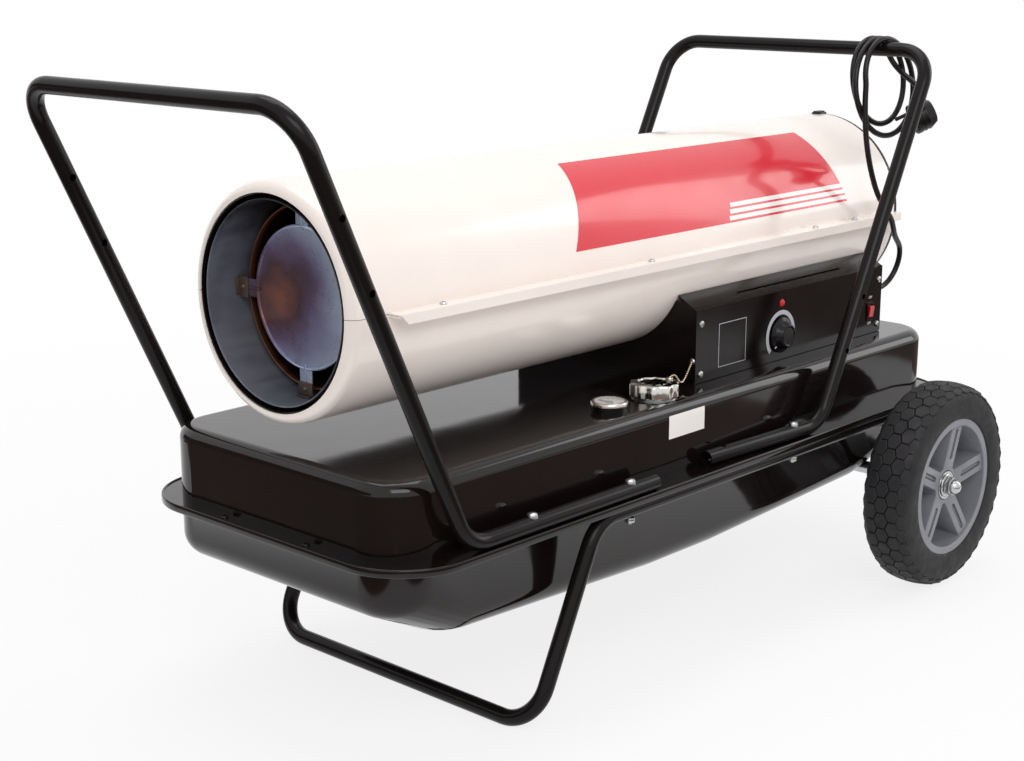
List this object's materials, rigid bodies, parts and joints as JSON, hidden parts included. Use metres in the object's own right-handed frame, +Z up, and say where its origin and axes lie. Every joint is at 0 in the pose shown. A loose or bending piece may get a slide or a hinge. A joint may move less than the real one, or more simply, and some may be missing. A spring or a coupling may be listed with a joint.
{
  "type": "kerosene forced-air heater",
  "caption": "Portable forced-air kerosene heater: a horizontal barrel over a flanged fuel tank with a control box, bent-tube handles, wheels and a front leg.",
  "frame": {"origin": "on the floor, in the middle of the outline seen from above, cord left out", "axes": "+X from the hot-air outlet to the intake, -Y towards the control side, +Z up"},
  "size_m": [1.1137, 0.5892, 0.6639],
  "materials": {
    "tank_black": "gloss",
    "frame_black": "semi-gloss",
    "barrel_white": "gloss",
    "box_black": "satin",
    "hot_steel": "heat tinted",
    "chamber_steel": "heat tinted",
    "zinc": "zinc plated",
    "cap_chrome": "polished",
    "bezel_silver": "polished",
    "pump_alloy": "as cast",
    "brass_parts": "machined",
    "copper_line": "drawn",
    "motor_grey": "satin",
    "black_plastic": "matt",
    "red_plastic": "gloss",
    "white_plastic": "matt",
    "board_green": "matt",
    "rim_grey": "satin",
    "tyre_rubber": "matt",
    "cord_rubber": "satin",
    "seal_rubber": "matt"
  },
  "bodies": {
    "base": {"tank_upper": "tank_black", "tank_lower": "tank_black", "drain_plug": "zinc", "filler_neck": "zinc", "cap_chain": "zinc", "gauge_grommet": "seal_rubber", "gauge_bezel": "bezel_silver", "gauge_stem": "zinc", "upper_shell": "barrel_white", "lower_shell": "barrel_white", "casing_screws": "zinc", "heat_liner": "hot_steel", "combustion_chamber": "chamber_steel", "stand_offs": "hot_steel", "baffle_disc": "hot_steel", "burner_head": "hot_steel", "nozzle_block": "brass_parts", "igniter": "white_plastic", "flame_sensor": "black_plastic", "motor": "motor_grey", "motor_bracket": "zinc", "pump_body": "pump_alloy", "pump_cover": "pump_alloy", "air_line": "copper_line", "fuel_line": "copper_line", "intake_guard": "frame_black", "pedestal": "box_black", "control_panel": "box_black", "thermostat_body": "white_plastic", "pilot_lamp": "red_plastic", "switch_housing": "black_plastic", "circuit_board": "board_green", "ignition_transformer": "motor_grey", "cord_gland": "seal_rubber", "cord_lead": "cord_rubber", "cord_hank": "cord_rubber", "cord_tail": "cord_rubber", "plug": "cord_rubber", "front_handle": "frame_black", "rear_handle": "frame_black", "undercarriage": "frame_black", "handle_bolts": "zinc", "axle": "zinc", "axle_fasteners": "zinc"},
    "near_wheel": {"near_tyre": "tyre_rubber", "near_rim": "rim_grey", "near_bearings": "zinc"},
    "far_wheel": {"far_tyre": "tyre_rubber", "far_rim": "rim_grey", "far_bearings": "zinc"},
    "blower": {"fan": "pump_alloy", "motor_shaft": "zinc", "pump_rotor": "black_plastic"},
    "seal": {"cap_seal": "seal_rubber"},
    "cap": {"fuel_cap": "cap_chrome"},
    "needle": {"gauge_needle": "red_plastic"},
    "float": {"gauge_float": "black_plastic"},
    "knob": {"thermostat_knob": "black_plastic"},
    "rocker": {"switch_rocker": "red_plastic"}
  },
  "joints": [
    {"name": "near_wheel_spin", "type": "hinge", "parent": "base", "child": "near_wheel", "pos_m": [0.411, -0.258, 0.127], "axis": [0, 1, 0], "continuous": true},
    {"name": "far_wheel_spin", "type": "hinge", "parent": "base", "child": "far_wheel", "pos_m": [0.411, 0.258, 0.127], "axis": [0, 1, 0], "continuous": true},
    {"name": "blower_spin", "type": "hinge", "parent": "base", "child": "blower", "pos_m": [0.4, 0, 0.439], "axis": [1, 0, 0], "continuous": true},
    {"name": "cap_lift", "type": "slide", "parent": "base", "child": "seal", "axis": [0, 0, 1], "range_m": [0, 0.06], "deforming": ["cap_chain"]},
    {"name": "cap_turn", "type": "hinge", "parent": "seal", "child": "cap", "pos_m": [0.004, -0.135, 0.3], "axis": [0, 0, 1], "range_deg": [0, 90], "deforming": ["cap_chain"]},
    {"name": "float_rise", "type": "slide", "parent": "base", "child": "float", "axis": [0, 0, 1], "range_m": [0, 0.09]},
    {"name": "needle_turn", "type": "hinge", "parent": "base", "child": "needle", "pos_m": [-0.073, -0.135, 0.3], "axis": [0, 0, -1], "range_deg": [0, 270]},
    {"name": "knob_turn", "type": "hinge", "parent": "base", "child": "knob", "pos_m": [0.245, -0.135, 0.3225], "axis": [0, 1, 0], "range_deg": [0, 270]},
    {"name": "rocker_tip", "type": "hinge", "parent": "base", "child": "rocker", "pos_m": [0.444, -0.1335, 0.321], "axis": [-1, 0, 0], "range_deg": [0, 18]}
  ],
  "couplings": [
    {"joint": "needle_turn", "follows": "float_rise", "rad_per_m": 52}
  ]
}
